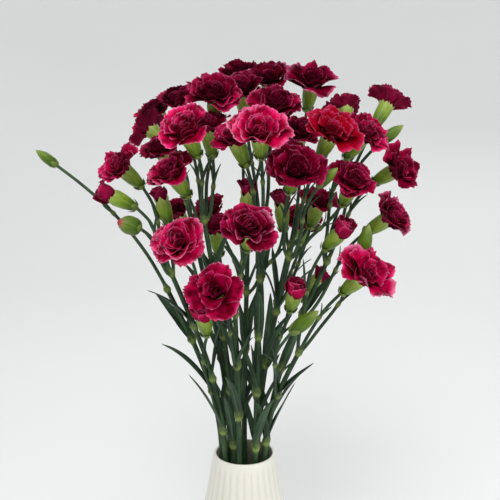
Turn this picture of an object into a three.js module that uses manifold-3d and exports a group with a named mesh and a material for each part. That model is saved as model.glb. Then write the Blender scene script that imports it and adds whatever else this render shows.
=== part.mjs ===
// A bunch of spray carnations standing in a white ceramic vase.
// Millimetres, +Z up. The origin is the middle of the vase's foot, on the surface that it stands on.
// -Y is the front of the bunch, and +X is its right.
import * as THREE from "three";
import { mergeVertices } from "three/addons/utils/BufferGeometryUtils.js";
import Module from "manifold-3d";

const wasm = await Module();
wasm.setup();

// ---------------------------------------------------------------- driving sizes
const clearance = 0.35; // air between two pieces that touch on the real bunch
const sliver = 0.04; // where a leaf meets its stem, edges under this are closed up

const vase = {
  height: 200,
  mouthRadius: 32.5,
  shoulderRadius: 43.8, // the wall heads for this width on its way down from the mouth
  shoulderDrop: 72, // and for this depth below the mouth
  bellyRadius: 56,
  bellyHeight: 42,
  bellyRise: 45, // how far up the wall keeps the belly's direction
  footRadius: 44,
  floorRadius: 46, // of the flat floor inside
  floor: 7,
  wall: 3.5,
  sides: 28,
};

const stem = {
  radius: 2.8, // inside the vase and just above it
  crownRadius: 2,
  swelling: 0.9, // how far a joint stands out, where leaves and side stalks grow
  nodeHalfLength: 4.5,
  nodePitch: 62, // from one joint to the next
  footShare: 0.8, // the feet stand closer together than the stems do in the mouth
  footGap: 1, // above the vase's floor
  sides: 6,
};

const stalk = {
  radius: 1.5,
  step: 30, // length of its straight pieces
  turn: 62, // degrees between two stalks of one joint
};

const calyx = { length: 28, baseRadius: 3.8, waistRadius: 6.9, mouthRadius: 7.3 };

const bloom = { radius: 21, rise: 10, depth: 17 }; // of an open bloom of width 1
const halfBloom = { radius: 10.4, rise: 8, depth: 17 };
const bud = { radius: 6.9, length: 31 }; // a closed, pointed bud
const fatBud = { radius: 9.6, length: 23 }; // a round bud that is about to open

const headSides = 7;

const leaf = {
  length: 90,
  width: 6.4,
  thickness: 1.3,
  sides: 4,
  topShare: 0.62, // the crown's leaves are this much of the full length,
  shareStep: 0.16, // and each joint down adds this much
};

// ---------------------------------------------------------------- the arrangement
// Each spray is one cut stem. Places are x, y and the height above the vase's rim, except mouth:
// it is where the stem leans in the vase's mouth, as shares of the mouth's free radius.
// crown is the stem's top joint, where most of its stalks begin.
// leafTurns are the compass sides of its pairs of leaves, from the crown's joint down.
// A head is [name, kind, middle x, y, z, turn, lift, width]: turn is the compass side that it faces,
// 0 for the front and 90 for the right, and lift is its tilt above the level.
const sprays = [
  {
    name: "a",
    mouth: [-0.91, -0.08],
    crown: [-76, -30, 188],
    leafTurns: [-60, 40, -90],
    heads: [
      ["a1", "bud", -190, -12, 311, -85, 38, 0.8],
      ["a2", "half", -38, -66, 174, -10, 60, 0.85],
    ],
  },
  {
    name: "b",
    mouth: [-0.76, -0.49],
    crown: [-70, -46, 208],
    leafTurns: [0, 70, -90, -75],
    heads: [
      ["b1", "open", -120, -30, 308, -50, 42, 1],
      ["b2", "half", -131, -48, 284, -80, 28, 0.9],
      ["b3", "fatBud", -104, -74, 257, -60, 20, 1],
      ["b4", "half", -81, -20, 278, -80, 75, 0.8],
      ["b5", "open", -58, -104, 250, -20, 38, 1.05],
    ],
  },
  {
    name: "c",
    mouth: [-0.6, 0.57],
    crown: [-50, 28, 220],
    leafTurns: [40, -50, 60, -60],
    heads: [
      ["c1", "open", -82, 5, 322, -40, 55, 0.9],
      ["c2", "open", -100, 30, 340, -120, 35, 0.9],
      ["c3", "open", -94, 64, 356, -60, 60, 0.9],
      ["c4", "open", -72, 66, 248, -60, 62, 0.9],
      ["c5", "open", -66, 20, 368, -30, 64, 0.9],
    ],
  },
  {
    name: "d",
    mouth: [-0.42, -0.34],
    crown: [-38, -40, 258],
    leafTurns: [-20, 70, -30, 60, -60],
    heads: [
      ["d1", "open", -53, -88, 348, -28, 50, 1.15],
      ["d2", "open", -25, -30, 374, 5, 56, 1.15],
      ["d3", "open", -30, -52, 348, -25, 72, 0.85],
      ["d4", "open", -66, -70, 308, -42, 50, 0.95],
    ],
  },
  {
    name: "e",
    mouth: [-0.19, -0.83],
    crown: [-8, -62, 172],
    leafTurns: [-30, 60, -20],
    heads: [
      ["e1", "open", 6, -110, 264, 5, 46, 1.1],
      ["e2", "open", -24, -122, 210, -12, 38, 1.2],
      ["e3", "half", 5, -44, 287, 20, 80, 0.85],
      ["e4", "open", -29, -14, 248, -30, 75, 0.9],
    ],
  },
  {
    name: "f",
    mouth: [0.45, -0.76],
    crown: [18, -50, 262],
    leafTurns: [70, -20, 0, -60, 50],
    heads: [
      ["f1", "open", 13, -92, 345, -5, 48, 1.2],
      ["f2", "open", -13, -70, 345, -45, 60, 0.85],
      ["f3", "open", 31, -45, 367, 15, 56, 1.15],
      ["f4", "open", -3, -5, 380, -10, 60, 1],
    ],
  },
  {
    name: "g",
    mouth: [0, 0.53],
    crown: [4, 40, 230],
    leafTurns: [0, 80, -20, 60],
    heads: [
      ["g1", "open", 24, 40, 390, -10, 62, 1.1],
      ["g2", "open", -4, 72, 394, -5, 66, 0.9],
      ["g3", "open", -41, 54, 253, -50, 60, 0.9],
      ["g4", "half", 37, 14, 268, -60, 84, 0.9],
    ],
  },
  {
    name: "h",
    mouth: [0.53, -0.23],
    crown: [44, -46, 224],
    leafTurns: [-40, 80, 10, 60],
    heads: [
      ["h1", "open", 82, -72, 345, 28, 50, 1.15],
      ["h2", "open", 48, -84, 312, 12, 44, 1.25],
      ["h3", "bud", 76, -78, 301, 70, 44, 0.8],
      ["h4", "half", 49, -76, 200, 15, 55, 0.95],
      ["h5", "open", 98, -75, 300, 20, 48, 0.95],
    ],
  },
  {
    name: "i",
    mouth: [0.91, 0.11],
    crown: [84, -6, 210],
    leafTurns: [20, 85, 0, 75],
    heads: [
      ["i1", "open", 154, -10, 303, 52, 30, 1.1],
      ["i2", "open", 144, -32, 259, 56, 34, 1],
      ["i3", "open", 114, -44, 341, 50, 50, 1.05],
      ["i4", "open", 148, 40, 366, 130, 50, 1],
      ["i5", "bud", 144, 0, 333, 85, 38, 0.9],
    ],
  },
  {
    name: "j",
    mouth: [0.83, -0.38],
    crown: [54, -52, 130],
    leafTurns: [0, 80, 100],
    heads: [
      ["j1", "open", 113, -92, 220, 48, 40, 1.3],
      ["j2", "half", 97, -60, 252, 50, 45, 0.95],
      ["j3", "bud", 110, -64, 240, 60, 78, 1.1],
      ["j4", "bud", 56, -88, 170, 75, 42, 1.1],
    ],
  },
  {
    name: "k",
    mouth: [0.53, 0.45],
    crown: [48, 26, 220],
    leafTurns: [-30, 90, 0, 80],
    heads: [
      ["k1", "open", 68, 18, 388, 15, 62, 1.2],
      ["k2", "open", 56, 4, 338, 20, 60, 0.9],
      ["k3", "open", 103, 54, 360, -170, 58, 0.8],
      ["k4", "open", 77, 0, 270, 35, 66, 0.9],
      ["k5", "open", 62, 40, 244, 10, 64, 0.85],
      ["k6", "half", 80, 24, 186, 110, 46, 0.9],
    ],
  },
];

// ---------------------------------------------------------------- small helpers
const V = (x, y, z) => new THREE.Vector3(x, y, z);
const degrees = (angle) => (angle * Math.PI) / 180;
const up = V(0, 0, 1);

function facing(turn, lift) {
  const level = Math.cos(degrees(lift));
  return V(
    Math.sin(degrees(turn)) * level,
    -Math.cos(degrees(turn)) * level,
    Math.sin(degrees(lift)),
  );
}

// The part of a vector that is square to a direction, as a unit vector.
function squareTo(vector, direction) {
  const flat = vector.clone().addScaledVector(direction, -vector.dot(direction));
  return flat.lengthSq() > 1e-6 ? flat.normalize() : V(1, 0, 0).cross(direction).normalize();
}

const sizes = { open: bloom, half: halfBloom, bud, fatBud };
const isBud = (head) => head.size === bud || head.size === fatBud;

// How far the middle of a head's petals, or of a bud, is from its base.
function middleHeight(head) {
  const { size, width } = head;
  return isBud(head) ? (size.length * width) / 2 : calyx.length + size.rise * width;
}

function neckOf(head) {
  return head.middle.clone().addScaledVector(head.axis, -middleHeight(head));
}

// ---------------------------------------------------------------- routes
// The stem stands on the vase's floor, leans in its mouth and curves out to its crown.
function stemRoute(spray) {
  const freeRadius = vase.mouthRadius - vase.wall - stem.radius - clearance;
  const mouth = V(spray.mouth[0] * freeRadius, spray.mouth[1] * freeRadius, vase.height);
  const foot = V(mouth.x * stem.footShare, mouth.y * stem.footShare, vase.floor + stem.footGap);
  const leaning = mouth.clone().sub(foot).normalize();
  const straight = spray.crown.clone().sub(mouth).normalize();
  const heading = straight.clone().multiplyScalar(1.5).addScaledVector(leaning, -0.5).normalize();
  const pull = 0.35 * spray.crown.distanceTo(mouth);
  const outside = new THREE.CubicBezierCurve3(
    mouth,
    mouth.clone().addScaledVector(leaning, pull),
    spray.crown.clone().addScaledVector(heading, -pull),
    spray.crown,
  );
  return { foot, leaning, outside };
}

// Distances down from the crown of the joints that stand clear above the vase.
function jointDrops(spray) {
  const free = spray.route.outside.getLength() - 2 * stem.nodeHalfLength;
  const drops = [];
  for (let drop = stem.nodeHalfLength; drop < free; drop += stem.nodePitch) drops.push(drop);
  return drops;
}

function alongStem(spray, drop) {
  const { outside } = spray.route;
  const share = 1 - drop / outside.getLength();
  const radius = stem.radius + (stem.crownRadius - stem.radius) * share;
  return { point: outside.getPointAt(share), heading: outside.getTangentAt(share), radius };
}

// A stalk leaves its joint beside the stem and bends over to carry its head.
function stalkStations(head) {
  const { point, heading } = head.joint;
  const beside = head.joint.radius + stem.swelling + stalk.radius + clearance;
  const start = head.leading
    ? point.clone().addScaledVector(heading, clearance)
    : point.clone().addScaledVector(head.side, beside);
  const neck = neckOf(head);
  const span = start.distanceTo(neck);
  const first = heading.clone().addScaledVector(head.side, head.leading ? 0 : 0.3).normalize();
  const lowBow = head.leading ? V(0, 0, 0) : head.bow; // a leading stalk starts straight on
  const route = new THREE.CubicBezierCurve3(
    start,
    start.clone().addScaledVector(first, span * 0.4).add(lowBow),
    neck.clone().addScaledVector(head.axis, -span * 0.33).add(head.bow),
    neck,
  );
  const steps = Math.max(3, Math.round(span / stalk.step));
  return Array.from({ length: steps + 1 }, (_, i) => ({
    point: route.getPoint(i / steps),
    heading: route.getTangent(i / steps),
    radius: stalk.radius,
  }));
}

// Up the stem outside the vase: each joint swells between two narrow places.
function stemStations(spray) {
  const half = stem.nodeHalfLength;
  const places = [[spray.route.outside.getLength(), 0]];
  for (const drop of [...spray.drops].reverse()) {
    places.push([drop + half, 0], [drop, stem.swelling], [Math.max(drop - half, 0), 0]);
  }
  return places.map(([drop, swelling]) => {
    const station = alongStem(spray, drop);
    return { ...station, radius: station.radius + swelling };
  });
}

// ---------------------------------------------------------------- settling
// Bones are segments with a radius that stand for the solids while the heads settle.
const settling = {
  passes: 200,
  pace: 0.3, // share of an overlap that one pass takes away
  sideways: 0.55, // the arrangement is seen from the front, so heads move less across it,
  upwards: 0.45, // and less up and down,
  forwards: 0.35, // than forwards or backwards
  stalkPull: 0.35, // how much a pushed stalk moves its head
  stalkBow: 1.2, // and how much it bends
  mostBow: 30,
  petalRing: 12, // bones around a bloom's petals
  petalMargin: 1.2, // covers the petals between those bones
};

function bonesAlong(stations, owner, kind) {
  return stations.slice(1).map((station, i) => ({
    a: stations[i].point,
    b: station.point,
    r: Math.max(stations[i].radius, station.radius),
    owner,
    kind,
    first: i === 0,
    hold: (i + 0.5) / (stations.length - 1),
  }));
}

function headBones(head) {
  const { size, width, axis } = head;
  const neck = neckOf(head);
  const bones = bonesAlong(stalkStations(head), head, "stalk");
  const add = (a, b, r) => bones.push({ a, b, r, owner: head, kind: "head" });
  const along = (height) => neck.clone().addScaledVector(axis, height);
  if (isBud(head)) {
    add(neck, along(0.84 * size.length * width), size.radius * width);
    return bones;
  }
  add(neck, along(calyx.length * 0.85), calyx.mouthRadius);
  const across = squareTo(up, axis);
  const beside = axis.clone().cross(across);
  const rim = 0.45 * size.depth * width;
  const ring = size.radius * width - rim;
  for (let i = 0; i < settling.petalRing; i++) {
    const angle = (2 * Math.PI * i) / settling.petalRing;
    const edge = head.middle
      .clone()
      .addScaledVector(across, Math.cos(angle) * ring)
      .addScaledVector(beside, Math.sin(angle) * ring);
    add(edge, head.middle, rim + settling.petalMargin);
  }
  return bones;
}

// The nearest points of two segments.
function nearest(p, q) {
  const u = p.b.clone().sub(p.a);
  const v = q.b.clone().sub(q.a);
  const w = p.a.clone().sub(q.a);
  const uu = u.lengthSq() + 1e-9;
  const vv = v.lengthSq() + 1e-9;
  const uv = u.dot(v);
  const uw = u.dot(w);
  const vw = v.dot(w);
  const det = uu * vv - uv * uv;
  let s = det > 1e-9 ? (uv * vw - vv * uw) / det : 0;
  s = Math.min(1, Math.max(0, s));
  let t = Math.min(1, Math.max(0, (uv * s + vw) / vv));
  s = Math.min(1, Math.max(0, (uv * t - uw) / uu));
  return [p.a.clone().addScaledVector(u, s), q.a.clone().addScaledVector(v, t)];
}

// A stalk begins close to its stem and to the other stalks of its joint.
function mayBeClose(p, q) {
  const begins = (bone, other) =>
    bone.kind === "stalk" &&
    bone.first &&
    (other.owner === bone.owner.spray || (other.kind === "stalk" && other.first));
  return p.owner === q.owner || begins(p, q) || begins(q, p);
}

// How far two bones are too close, and the direction that parts them. It favours depth.
function overlapOf(p, q) {
  const [at, other] = nearest(p, q);
  const away = at.clone().sub(other);
  const short = p.r + q.r + clearance - away.length();
  if (away.lengthSq() > 1e-6) away.normalize();
  const depth = away.y + settling.forwards * Math.sign(p.mid.y - q.mid.y || 1);
  away.set(away.x * settling.sideways, depth, away.z * settling.upwards);
  return { short, away };
}

// Pushes neighbours apart until they clear. Stems stay, heads move and stalks bow.
function settle() {
  const stems = sprays.flatMap((spray) => bonesAlong(stemStations(spray), spray, "stem"));
  for (let pass = 0; pass < settling.passes; pass++) {
    const bones = [...heads.flatMap(headBones), ...stems];
    for (const bone of bones) {
      bone.mid = bone.a.clone().add(bone.b).multiplyScalar(0.5);
      bone.reach = bone.a.distanceTo(bone.b) / 2 + bone.r;
    }
    const moves = new Map(heads.map((head) => [head, { place: V(0, 0, 0), bow: V(0, 0, 0) }]));
    const push = (bone, away, amount) => {
      const move = moves.get(bone.owner);
      if (!move) return;
      const isStalk = bone.kind === "stalk";
      move.place.addScaledVector(away, amount * (isStalk ? settling.stalkPull * bone.hold : 1));
      if (isStalk) move.bow.addScaledVector(away, amount * settling.stalkBow);
    };
    bones.forEach((p, i) => {
      for (const q of bones.slice(i + 1)) {
        if (p.mid.distanceTo(q.mid) > p.reach + q.reach + 1 || mayBeClose(p, q)) continue;
        const { short, away } = overlapOf(p, q);
        if (short <= 0) continue;
        push(p, away, settling.pace * short);
        push(q, away, -settling.pace * short);
      }
    });
    for (const [head, move] of moves) {
      head.middle.add(move.place.clampLength(0, 3));
      head.bow.add(move.bow.clampLength(0, 2)).clampLength(0, settling.mostBow);
    }
  }
  return [...heads.flatMap(headBones), ...stems];
}

// ---------------------------------------------------------------- solids
// Turns the radii on a lathe, then bends the result along the stations. The directions across
// are carried on from one station to the next without a twist, and flat squeezes one of them.
function bent(stations, sides, firstAcross, flat = 1) {
  const profile = stations.map(({ radius }, i) => new THREE.Vector2(radius, i));
  const turned = new THREE.LatheGeometry(profile, sides);
  let across = firstAcross;
  const frames = stations.map(({ point, heading }) => {
    across = squareTo(across, heading);
    return { point, across, beside: across.clone().cross(heading) };
  });
  const position = turned.getAttribute("position");
  for (let i = 0; i < position.count; i++) {
    const frame = frames[Math.round(position.getY(i))];
    const at = frame.point
      .clone()
      .addScaledVector(frame.across, position.getX(i))
      .addScaledVector(frame.beside, position.getZ(i) * flat);
    position.setXYZ(i, at.x, at.y, at.z);
  }
  return turned;
}

function solidOf(geometry) {
  const bare = geometry.clone();
  bare.deleteAttribute("normal");
  bare.deleteAttribute("uv");
  const merged = mergeVertices(bare, 1e-4);
  return new wasm.Manifold(
    new wasm.Mesh({
      numProp: 3,
      vertProperties: new Float32Array(merged.attributes.position.array),
      triVerts: new Uint32Array(merged.index.array),
    }),
  );
}

function geometryOf(solid) {
  const mesh = solid.simplify(sliver).getMesh();
  const geometry = new THREE.BufferGeometry();
  geometry.setAttribute("position", new THREE.BufferAttribute(mesh.vertProperties, 3));
  geometry.setIndex(new THREE.BufferAttribute(mesh.triVerts, 1));
  geometry.computeVertexNormals();
  return geometry;
}

// Radius against height above the base, for each kind of head.
function headProfile(head) {
  const { size, width: w } = head;
  if (isBud(head)) {
    return [
      [size.radius * 0.55 * w, size.length * 0.08 * w],
      [size.radius * w, size.length * 0.36 * w],
      [size.radius * 0.94 * w, size.length * 0.64 * w],
      [0, size.length * w],
    ];
  }
  const green = [
    [calyx.baseRadius, 2],
    [calyx.waistRadius, 10],
    [calyx.mouthRadius, calyx.length],
  ];
  const top = calyx.length + size.rise * w;
  return [
    ...green,
    [size.radius * 0.93 * w, top - 0.22 * size.depth * w],
    [size.radius * w, top + 0.02 * size.depth * w],
    [size.radius * 0.72 * w, top + 0.34 * size.depth * w],
    [0, top + 0.47 * size.depth * w],
  ];
}

function headGeometry(head) {
  const neck = neckOf(head);
  const stations = [
    ...stalkStations(head),
    ...headProfile(head).map(([radius, height]) => ({
      point: neck.clone().addScaledVector(head.axis, height),
      heading: head.axis,
      radius,
    })),
  ];
  return bent([{ ...stations[0], radius: 0 }, ...stations], headSides, V(1, 0, 0));
}

function stemSolid(spray) {
  const foot = { point: spray.route.foot, heading: spray.route.leaning, radius: stem.radius };
  const free = stemStations(spray);
  const stations = [{ ...foot, radius: 0 }, foot, ...free, { ...free.at(-1), radius: 0 }];
  return solidOf(bent(stations, stem.sides, V(1, 0, 0)));
}

// ---------------------------------------------------------------- leaves
// A leaf rises from its joint and bows away from the stem. spread is how far its tip leans out.
function leafCurve(joint, side, length, spread) {
  const { point, heading } = joint;
  return new THREE.QuadraticBezierCurve3(
    point,
    point
      .clone()
      .addScaledVector(heading, length * 0.5)
      .addScaledVector(side, joint.radius + stem.swelling + 3.2 + length * 0.06),
    point
      .clone()
      .addScaledVector(heading, length * 0.82)
      .addScaledVector(side, length * spread),
  );
}

// The blade is widest near its middle and comes to a point at both ends.
const leafWidths = [0, 0.75, 1, 0.92, 0.6, 0];

function leafStations(curve) {
  const last = leafWidths.length - 1;
  return leafWidths.map((width, i) => {
    const share = Math.max(i / last, 0.015);
    const radius = (width * leaf.width) / 2;
    return { point: curve.getPoint(share), heading: curve.getTangent(share), radius };
  });
}

function isClear(bones, others) {
  return bones.every((p) =>
    others.every((q) => {
      const [at, other] = nearest(p, q);
      return at.distanceTo(other) > p.r + q.r + clearance;
    }),
  );
}

// Tries the leaf's own side first, then leans, turns and shortens it until it grows in free air.
function freeLeaf(joint, side, length, others) {
  for (const shorter of [1, 0.8, 0.62]) {
    for (const spread of [0.3, 0.14, 0.45]) {
      for (const turn of [0, 25, -25, 50, -50]) {
        const turned = side.clone().applyAxisAngle(joint.heading, degrees(turn));
        const stations = leafStations(leafCurve(joint, turned, length * shorter, spread));
        const bones = bonesAlong(stations, joint, "leaf");
        // The foot is narrow and starts inside the joint: only its upper half can touch a stalk.
        bones[0].a = bones[0].a.clone().lerp(bones[0].b, 0.5);
        bones[0].r = leaf.thickness;
        if (isClear(bones, others)) {
          return { stations, bones, across: turned.clone().cross(joint.heading) };
        }
      }
    }
  }
  return null;
}

// ---------------------------------------------------------------- the vase
function vaseGeometry() {
  const { height, mouthRadius, bellyRadius, bellyHeight, wall, floor } = vase;
  const outer = new THREE.Path();
  outer.moveTo(vase.footRadius, 0);
  outer.quadraticCurveTo(bellyRadius - 1, bellyHeight / 8, bellyRadius, bellyHeight);
  outer.bezierCurveTo(
    bellyRadius,
    bellyHeight + vase.bellyRise,
    vase.shoulderRadius,
    height - vase.shoulderDrop,
    mouthRadius,
    height,
  );
  const outside = outer.getPoints(6);
  const lining = outside
    .filter((p) => p.y > floor && p.y < height)
    .map((p) => new THREE.Vector2(p.x - wall, p.y))
    .reverse();
  const section = [
    new THREE.Vector2(0, 0),
    ...outside,
    new THREE.Vector2(mouthRadius - wall, height),
    ...lining,
    new THREE.Vector2(vase.floorRadius, floor),
    new THREE.Vector2(0, floor),
  ];
  return new THREE.LatheGeometry(section, vase.sides).rotateX(Math.PI / 2);
}

// ---------------------------------------------------------------- materials
const finish = (color, roughness) => new THREE.MeshStandardMaterial({ color, roughness, metalness: 0 });
const glaze = finish("#efeee6", 0.35);
const stemGreen = finish("#35523f", 0.6);
const budGreen = finish("#7fa545", 0.55);
const petals = finish("#b0124a", 0.7);

// ---------------------------------------------------------------- growing the sprays
// How badly a joint suits a stalk: far away, not low enough under the neck, or already taken.
function costOf(joint, neck) {
  const rise = neck.z - joint.point.z;
  const lateral = Math.hypot(neck.x - joint.point.x, neck.y - joint.point.y);
  const steep = 4 * Math.max(0, 40 - rise) + 2 * Math.max(0, lateral - 0.9 * rise);
  return neck.distanceTo(joint.point) + steep + 14 * joint.used;
}

// The first head of a spray is carried by the end of its stem, the others by side stalks.
function growHead(spray, [name, kind, x, y, z, turn, lift, width], place) {
  const head = { name, kind, width, spray, size: sizes[kind], leading: place === 0 };
  head.middle = V(x, y, vase.height + z);
  head.axis = facing(turn, lift);
  head.bow = V(0, 0, 0);
  const neck = neckOf(head);
  const better = (best, joint) => (costOf(joint, neck) < costOf(best, neck) ? joint : best);
  const joint = head.leading ? spray.joints[0] : spray.joints.reduce(better);
  joint.used += 1;
  head.joint = head.leading ? { ...joint, point: spray.crown } : joint;
  head.side = squareTo(neck.sub(head.joint.point), head.joint.heading);
  return head;
}

// Stalks that share a joint leave it on different sides.
function spaceStalks(joint, sharing) {
  const apart = degrees(stalk.turn);
  for (let pass = 0; pass < 40; pass++) {
    sharing.forEach((p, i) => {
      for (const q of sharing.slice(i + 1)) {
        const angle = p.side.angleTo(q.side);
        if (angle >= apart) continue;
        const sign = p.side.clone().cross(q.side).dot(joint.heading) >= 0 ? 1 : -1;
        const turn = sign * ((apart - angle) / 2 + 0.01);
        p.side.applyAxisAngle(joint.heading, -turn);
        q.side.applyAxisAngle(joint.heading, turn);
      }
    });
  }
}

for (const spray of sprays) {
  spray.crown = V(...spray.crown).addScaledVector(up, vase.height);
  spray.route = stemRoute(spray);
  spray.drops = jointDrops(spray);
  spray.joints = spray.drops.map((drop) => ({ ...alongStem(spray, drop), used: 0 }));
  spray.heads = spray.heads.map((head, place) => growHead(spray, head, place));
  for (const joint of spray.joints) {
    spaceStalks(joint, spray.heads.filter((head) => head.joint === joint));
  }
}

const heads = sprays.flatMap((spray) => spray.heads);
const taken = settle();

// Adds a joint's pair of opposite leaves to its stem, where there is air for them.
function addLeaves(solid, spray, joint, level) {
  const turn = spray.leafTurns[level % spray.leafTurns.length];
  const side = squareTo(facing(turn, 0), joint.heading);
  const length = leaf.length * Math.min(1, leaf.topShare + leaf.shareStep * level);
  const others = taken.filter((bone) => bone.owner !== spray);
  let grown = solid;
  for (const direction of [side, side.clone().negate()]) {
    const found = freeLeaf(joint, direction, length, others);
    if (!found) continue;
    taken.push(...found.bones);
    const blade = bent(found.stations, leaf.sides, found.across, leaf.thickness / leaf.width);
    grown = grown.add(solidOf(blade));
  }
  return grown;
}

// ---------------------------------------------------------------- the whole object
const carnations = new THREE.Group();
carnations.name = "carnations_in_a_vase";

function addMesh(name, geometry, material) {
  const mesh = new THREE.Mesh(geometry, material);
  mesh.name = name;
  carnations.add(mesh);
}

addMesh("vase", vaseGeometry(), glaze);

for (const spray of sprays) {
  const grow = (solid, joint, level) => addLeaves(solid, spray, joint, level);
  addMesh(`stem_${spray.name}`, geometryOf(spray.joints.reduce(grow, stemSolid(spray))), stemGreen);
}

for (const head of heads) {
  if (isBud(head)) addMesh(`bud_${head.name}`, headGeometry(head), budGreen);
  else addMesh(`bloom_${head.name}`, headGeometry(head), petals);
}

export default carnations;
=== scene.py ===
# %% [markdown]
# # A bunch of cut spray carnations in a ribbed vase
# The CAD model fixes where every stem, stalk, calyx, bud and bloom is, and how wide each one is.
# Its petals are closed, faceted solids. This lesson opens them up into ruffled petals, turns the
# stems into waxy green canes with swollen joints, and gives the vase its ribs and its glaze. Each
# shape is worked out with numpy as a grid of points, so that one formula makes a whole bloom.

import bpy
import numpy as np
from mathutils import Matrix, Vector


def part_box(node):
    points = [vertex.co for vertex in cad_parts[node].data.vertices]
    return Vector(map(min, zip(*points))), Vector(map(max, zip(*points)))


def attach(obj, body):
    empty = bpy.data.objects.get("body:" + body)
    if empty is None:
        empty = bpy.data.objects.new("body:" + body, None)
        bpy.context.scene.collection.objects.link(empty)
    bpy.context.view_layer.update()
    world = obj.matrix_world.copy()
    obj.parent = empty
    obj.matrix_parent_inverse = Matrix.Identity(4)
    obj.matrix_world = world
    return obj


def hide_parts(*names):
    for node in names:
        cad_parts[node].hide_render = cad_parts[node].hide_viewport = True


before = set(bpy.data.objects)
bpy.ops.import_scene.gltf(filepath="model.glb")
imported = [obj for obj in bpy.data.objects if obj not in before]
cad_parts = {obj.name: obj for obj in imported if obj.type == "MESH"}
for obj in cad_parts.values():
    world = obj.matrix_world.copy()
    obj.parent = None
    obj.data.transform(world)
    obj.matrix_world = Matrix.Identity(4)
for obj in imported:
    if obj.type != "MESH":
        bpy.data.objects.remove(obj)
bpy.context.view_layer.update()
mm = 0.001
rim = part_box("vase")[1][2]
print("vase rim at", round(rim / mm), "mm;", len(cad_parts), "CAD nodes")

# %% [markdown]
# ## Reading the plant back from the frame
# A grower would describe the bunch by its stems, joints and necks, not by triangles. The CAD
# heads are tubes whose corners lie in rings, so walking from one end along the edges, one step at
# a time, finds the rings again, and the middle of each ring is a point on the stalk or on the
# head's axis. This keeps every new piece where the frame has it, without a second list of
# positions.


# %% Corners and edges of a CAD node
def node_corners(name):
    """A node's corners and triangles, after the corners that several triangles share are merged."""
    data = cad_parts[name].data
    points = np.empty(len(data.vertices) * 3)
    data.vertices.foreach_get("co", points)
    corners = np.empty(len(data.loops), int)
    data.loops.foreach_get("vertex_index", corners)
    points = points.reshape(-1, 3)
    _, first, merged = np.unique(
        np.round(points, 5), axis=0, return_index=True, return_inverse=True
    )
    return points[first], merged.ravel()[corners].reshape(-1, 3)


def edges_of(triangles):
    """Each edge once, as a pair of corner numbers."""
    pairs = np.vstack([triangles[:, [0, 1]], triangles[:, [1, 2]], triangles[:, [2, 0]]])
    pairs = np.unique(np.sort(pairs, axis=1), axis=0)
    return pairs[pairs[:, 0] != pairs[:, 1]]


def unit(vectors):
    """The same directions, one long."""
    return vectors / np.linalg.norm(vectors, axis=-1, keepdims=True)


corners, triangles = node_corners("vase")
print("vase:", len(corners), "corners,", len(edges_of(triangles)), "edges")

# %% Rings along a head
most_steps = 60  # more than any walk along the edges needs


def rings_of(name):
    """Middles and radii of the rings along a head, from the stalk's end to the petals'. The two
    ends are the corners where most edges meet, and the stalk's end is the one with the narrower
    first ring. A corner's ring is its number of steps from there along the edges."""
    points, triangles = node_corners(name)
    edges = edges_of(triangles)
    meeting = np.bincount(edges.ravel(), minlength=len(points))
    ends = np.where(meeting == meeting.max())[0]
    around = [np.unique(edges[(edges == end).any(axis=1)]) for end in ends]
    reach = [np.linalg.norm(points[a] - points[e], axis=1).max() for a, e in zip(around, ends)]
    step = np.full(len(points), -1)
    step[ends[int(np.argmin(reach))]] = 0
    for k in range(most_steps):
        a, b = step[edges[:, 0]], step[edges[:, 1]]
        step[edges[(a == k) & (b < 0), 1]] = k + 1
        step[edges[(b == k) & (a < 0), 0]] = k + 1
    rings = [points[step == k] for k in range(step.max() + 1)]
    middles = np.array([ring.mean(axis=0) for ring in rings])
    radii = [np.linalg.norm(ring - middle, axis=1).mean() for ring, middle in zip(rings, middles)]
    return middles, np.array(radii)


middles, radii = rings_of("bloom_h1")
print("bloom_h1:", len(radii), "rings, the widest", round(radii.max() / mm, 1), "mm")

# %% Heads
open_radius, half_radius = 21 * mm, 10.4 * mm  # of a full-sized open bloom and half-open bloom
bud_rings, bloom_rings = 4, 7  # rings of a head above its stalk


def read_head(node):
    """Where a head's stalk runs, where its neck is, which way it faces and how wide it is."""
    middles, radii = rings_of(node)
    kind, name = node.split("_")
    stalk = middles[1 : -(bud_rings if kind == "bud" else bloom_rings)]
    axis = unit(middles[-1] - stalk[-1])
    widest = radii[-bud_rings:].max()
    if kind == "bloom":
        kind = "open" if widest > 14 * mm else "half"
    width = widest / {"open": open_radius, "half": half_radius, "bud": 1}[kind]
    long = np.linalg.norm(middles[-1] - stalk[-1])
    return dict(node=node, name=name, kind=kind, stalk=stalk, neck=stalk[-1], axis=axis,
                width=width, long=long)


heads = [read_head(node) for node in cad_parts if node.split("_")[0] in ("bloom", "bud")]
kinds = [head["kind"] for head in heads]
print({kind: kinds.count(kind) for kind in ("open", "half", "bud")})

# %% [markdown]
# A cut stem stands on the vase's floor, leans straight in its mouth and curves out to its crown,
# where its first stalk carries on. So the foot, the rim and the start of that stalk are enough to
# draw the whole route as one Bezier curve. Joints sit at even steps down from the crown, as they
# do on a real carnation. The leaves are what is left of the CAD stem away from that route: each
# one's tip is read, and its curve follows from the tip and the joint below it.


# %% Lines and groups
def bezier(controls, share):
    """Points on a Bezier curve of any degree: neighbouring controls are blended by the share, and
    their blends again, until one point is left."""
    points = [np.asarray(c, float)[None, :] for c in controls]
    t = np.asarray(share)[:, None]
    while len(points) > 1:
        points = [a + (b - a) * t for a, b in zip(points, points[1:])]
    return points[0]


def lengths_along(points):
    """Distance of each point from the first, measured along the line."""
    return np.append(0, np.cumsum(np.linalg.norm(np.diff(points, axis=0), axis=1)))


def at_length(points, where):
    """Points on a line at these distances from its start."""
    along = lengths_along(points)
    return np.stack([np.interp(where, along, points[:, k]) for k in range(3)], axis=-1)


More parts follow.
